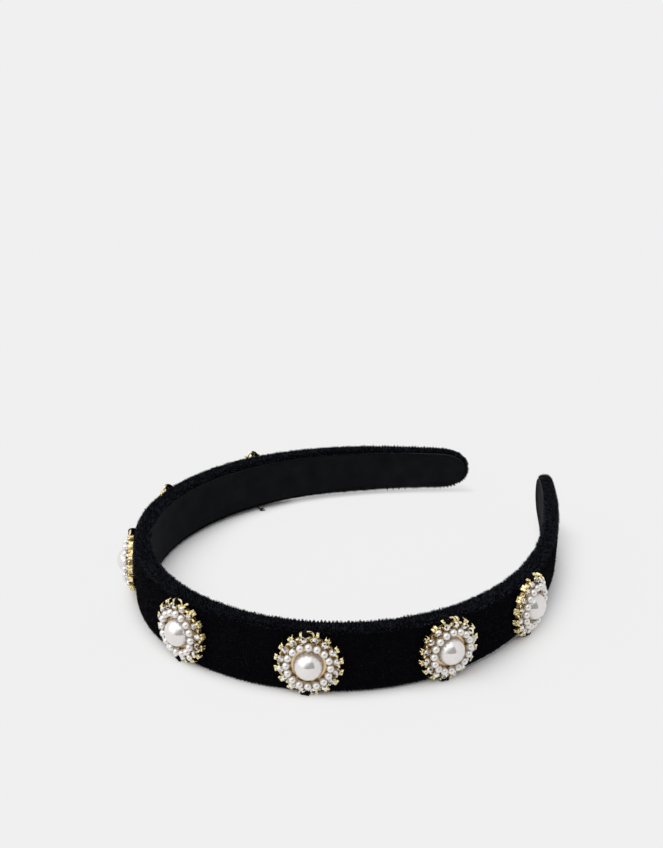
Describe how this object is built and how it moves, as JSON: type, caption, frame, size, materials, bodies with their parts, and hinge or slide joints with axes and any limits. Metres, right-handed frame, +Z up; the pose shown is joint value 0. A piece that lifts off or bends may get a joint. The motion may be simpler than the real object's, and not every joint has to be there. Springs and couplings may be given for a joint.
{
  "type": "headband",
  "caption": "Padded velvet headband, open at the back, with round pearl and crystal motifs sewn along its outer face; the arms spring apart to go over the head.",
  "frame": {"origin": "under the middle of the crown, on the surface that the band lies on", "axes": "+X across the head to the right arm, +Y from the crown to the tips, +Z up along the width of the band"},
  "size_m": [0.1336, 0.1569, 0.02],
  "materials": {
    "velvet": "black velvet pile",
    "lining": "matte woven lining",
    "padding": "soft foam",
    "core": "springy strip",
    "gold": "polished gold plating",
    "pearl": "pearl lustre",
    "crystal": "cut and clear",
    "thread": "black sewing thread"
  },
  "bodies": {
    "crown": {"velvet_cover_crown": "velvet", "padding_crown": "padding", "core_strip_crown": "core", "lining_crown": "lining", "setting_4": "gold", "centre_pearl_4": "pearl", "small_pearls_4": "pearl", "crystals_4": "crystal", "thread_loops_4": "thread"},
    "left_arm": {"velvet_cover_left": "velvet", "padding_left": "padding", "core_strip_left": "core", "lining_left": "lining", "setting_1": "gold", "centre_pearl_1": "pearl", "small_pearls_1": "pearl", "crystals_1": "crystal", "thread_loops_1": "thread", "setting_2": "gold", "centre_pearl_2": "pearl", "small_pearls_2": "pearl", "crystals_2": "crystal", "thread_loops_2": "thread", "setting_3": "gold", "centre_pearl_3": "pearl", "small_pearls_3": "pearl", "crystals_3": "crystal", "thread_loops_3": "thread"},
    "right_arm": {"velvet_cover_right": "velvet", "padding_right": "padding", "core_strip_right": "core", "lining_right": "lining", "setting_5": "gold", "centre_pearl_5": "pearl", "small_pearls_5": "pearl", "crystals_5": "crystal", "thread_loops_5": "thread", "setting_6": "gold", "centre_pearl_6": "pearl", "small_pearls_6": "pearl", "crystals_6": "crystal", "thread_loops_6": "thread", "setting_7": "gold", "centre_pearl_7": "pearl", "small_pearls_7": "pearl", "crystals_7": "crystal", "thread_loops_7": "thread"}
  },
  "joints": [
    {"name": "left_flex", "type": "hinge", "parent": "crown", "child": "left_arm", "pos_m": [-0.02143, 0.00146, 0.01], "axis": [0, 0, 1], "range_deg": [0, 10], "stiffness_Nm_per_rad": 1.8},
    {"name": "right_flex", "type": "hinge", "parent": "crown", "child": "right_arm", "pos_m": [0.02143, 0.00146, 0.01], "axis": [0, 0, -1], "range_deg": [0, 10], "stiffness_Nm_per_rad": 1.8}
  ]
}
